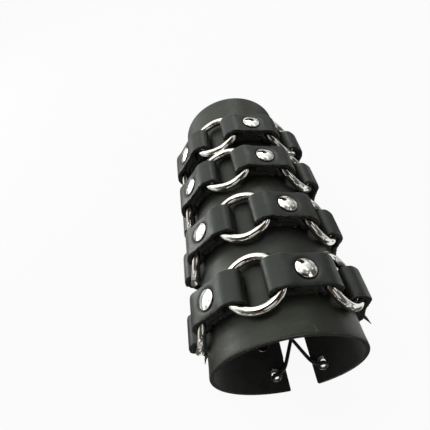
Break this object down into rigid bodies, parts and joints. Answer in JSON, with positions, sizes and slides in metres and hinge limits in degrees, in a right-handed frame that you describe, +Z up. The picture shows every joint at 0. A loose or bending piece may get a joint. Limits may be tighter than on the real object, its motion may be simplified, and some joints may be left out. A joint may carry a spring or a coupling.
{
  "type": "laced gauntlet",
  "caption": "Laced leather forearm gauntlet: a conical sleeve with rows of metal rings held in riveted straps, closed by a lace through eyelets.",
  "frame": {"origin": "bottom centre of the gauntlet's box, as it lies on its laced edge, without its lace", "axes": "+Y from the elbow edge to the wrist edge, +Z up on the side of the middle rings, +X to the right seen from the elbow"},
  "size_m": [0.1174, 0.2027, 0.0963],
  "materials": {
    "sleeve_leather": "waxed",
    "strap_leather": "waxed",
    "ring_nickel": "polished",
    "rivet_nickel": "polished",
    "eyelet_nickel": "polished",
    "lace_leather": "waxed"
  },
  "bodies": {
    "gauntlet": {"sleeve": "sleeve_leather", "row_1_link_left": "strap_leather", "row_1_link_right": "strap_leather", "row_2_link_left": "strap_leather", "row_2_link_right": "strap_leather", "row_3_link_left": "strap_leather", "row_3_link_right": "strap_leather", "row_4_link_left": "strap_leather", "row_4_link_right": "strap_leather", "row_1_end_strap_left": "strap_leather", "row_1_end_strap_right": "strap_leather", "row_2_end_strap_left": "strap_leather", "row_2_end_strap_right": "strap_leather", "row_3_end_strap_left": "strap_leather", "row_3_end_strap_right": "strap_leather", "row_4_end_strap_left": "strap_leather", "row_4_end_strap_right": "strap_leather", "row_1_rivet_caps": "rivet_nickel", "row_2_rivet_caps": "rivet_nickel", "row_3_rivet_caps": "rivet_nickel", "row_4_rivet_caps": "rivet_nickel", "row_1_rivet_posts": "rivet_nickel", "row_2_rivet_posts": "rivet_nickel", "row_3_rivet_posts": "rivet_nickel", "row_4_rivet_posts": "rivet_nickel", "eyelets": "eyelet_nickel", "eyelet_washers": "eyelet_nickel", "lace": "lace_leather", "lace_end_left": "lace_leather", "lace_end_right": "lace_leather"},
    "row_1_ring_left": {"row_1_ring_left": "ring_nickel"},
    "row_1_ring_middle": {"row_1_ring_middle": "ring_nickel"},
    "row_1_ring_right": {"row_1_ring_right": "ring_nickel"},
    "row_2_ring_left": {"row_2_ring_left": "ring_nickel"},
    "row_2_ring_middle": {"row_2_ring_middle": "ring_nickel"},
    "row_2_ring_right": {"row_2_ring_right": "ring_nickel"},
    "row_3_ring_left": {"row_3_ring_left": "ring_nickel"},
    "row_3_ring_middle": {"row_3_ring_middle": "ring_nickel"},
    "row_3_ring_right": {"row_3_ring_right": "ring_nickel"},
    "row_4_ring_left": {"row_4_ring_left": "ring_nickel"},
    "row_4_ring_middle": {"row_4_ring_middle": "ring_nickel"},
    "row_4_ring_right": {"row_4_ring_right": "ring_nickel"}
  },
  "joints": [
    {"name": "row_1_left_ring_spin", "type": "hinge", "parent": "gauntlet", "child": "row_1_ring_left", "pos_m": [-0.04019, 0.05411, 0.05075], "axis": [-0.9643, 0.045, 0.261], "continuous": true},
    {"name": "row_1_middle_ring_spin", "type": "hinge", "parent": "gauntlet", "child": "row_1_ring_middle", "pos_m": [-0.00435, 0.05522, 0.08121], "axis": [-0.1043, 0.0715, 0.992], "continuous": true},
    {"name": "row_1_right_ring_spin", "type": "hinge", "parent": "gauntlet", "child": "row_1_ring_right", "pos_m": [0.03704, 0.05441, 0.05885], "axis": [0.8888, 0.052, 0.4554], "continuous": true},
    {"name": "row_2_left_ring_spin", "type": "hinge", "parent": "gauntlet", "child": "row_2_ring_left", "pos_m": [-0.04024, 0.01828, 0.05605], "axis": [-0.9369, 0.0481, 0.3463], "continuous": true},
    {"name": "row_2_middle_ring_spin", "type": "hinge", "parent": "gauntlet", "child": "row_2_ring_middle", "pos_m": [-0.00217, 0.01929, 0.08397], "axis": [-0.0505, 0.0717, 0.9961], "continuous": true},
    {"name": "row_2_right_ring_spin", "type": "hinge", "parent": "gauntlet", "child": "row_2_ring_right", "pos_m": [0.03853, 0.01843, 0.06004], "axis": [0.897, 0.0514, 0.4391], "continuous": true},
    {"name": "row_3_left_ring_spin", "type": "hinge", "parent": "gauntlet", "child": "row_3_ring_left", "pos_m": [-0.03938, -0.02448, 0.0633], "axis": [-0.8852, 0.0523, 0.4622], "continuous": true},
    {"name": "row_3_middle_ring_spin", "type": "hinge", "parent": "gauntlet", "child": "row_3_ring_middle", "pos_m": [0.00162, -0.02362, 0.08708], "axis": [0.0365, 0.0717, 0.9968], "continuous": true},
    {"name": "row_3_right_ring_spin", "type": "hinge", "parent": "gauntlet", "child": "row_3_ring_right", "pos_m": [0.04078, -0.02459, 0.06037], "axis": [0.9167, 0.0499, 0.3964], "continuous": true},
    {"name": "row_4_left_ring_spin", "type": "hinge", "parent": "gauntlet", "child": "row_4_ring_left", "pos_m": [-0.04073, -0.06893, 0.06573], "axis": [-0.8843, 0.0523, 0.464], "continuous": true},
    {"name": "row_4_middle_ring_spin", "type": "hinge", "parent": "gauntlet", "child": "row_4_ring_middle", "pos_m": [0, -0.06803, 0.0903], "axis": [0, 0.0717, 0.9974], "continuous": true},
    {"name": "row_4_right_ring_spin", "type": "hinge", "parent": "gauntlet", "child": "row_4_ring_right", "pos_m": [0.04073, -0.06893, 0.06573], "axis": [0.8843, 0.0523, 0.464], "continuous": true}
  ]
}
